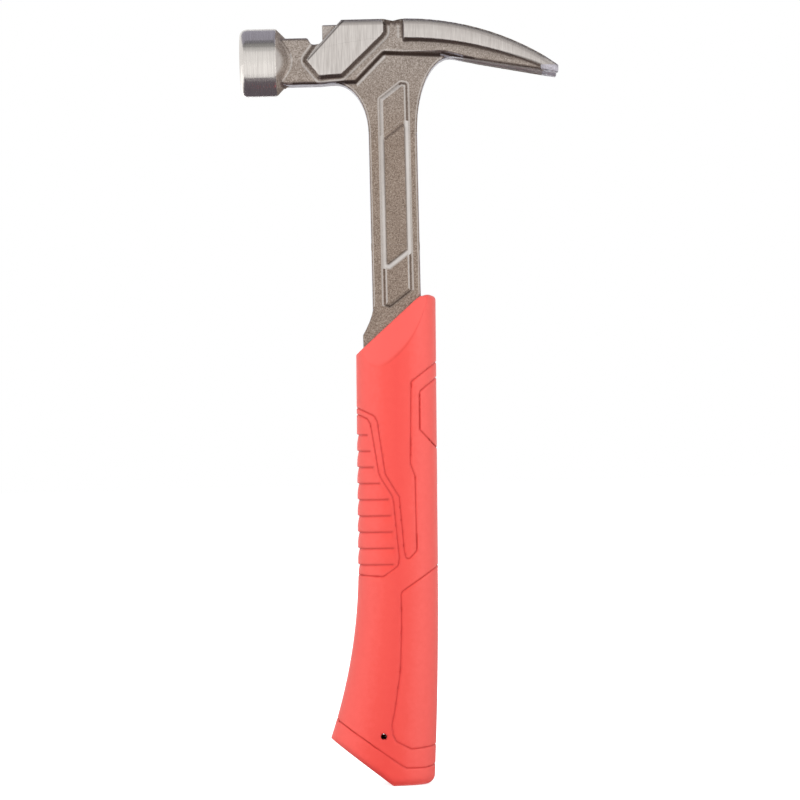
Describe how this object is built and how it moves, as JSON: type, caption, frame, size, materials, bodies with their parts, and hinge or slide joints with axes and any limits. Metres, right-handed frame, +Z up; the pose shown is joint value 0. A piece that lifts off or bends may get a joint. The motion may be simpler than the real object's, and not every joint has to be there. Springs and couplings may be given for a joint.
{
  "type": "framing hammer",
  "caption": "One-piece forged steel hammer with a straight rip claw, round striking face, nail-starting notch, recessed shaft and a red moulded grip with a ribbed front pad.",
  "frame": {"origin": "where the axis of the shaft meets the flat of the butt", "axes": "+Z up the shaft to the head, -X towards the striking face, +X towards the claw, Y across the thickness"},
  "size_m": [0.1413, 0.033, 0.34],
  "materials": {
    "forged_steel": "forged and blasted, with ground cheeks, claw tops and face",
    "magnet": "plated",
    "core_plastic": "moulded",
    "grip_red": "moulded, satin"
  },
  "bodies": {
    "root": {"hammer_forging": "forged_steel", "nail_magnet": "magnet", "grip_core": "core_plastic", "upper_sleeve": "grip_red", "grip_body": "grip_red", "rib_pad": "grip_red", "upper_back_pad": "grip_red", "palm_pad": "grip_red", "butt_cap": "grip_red"}
  },
  "joints": []
}
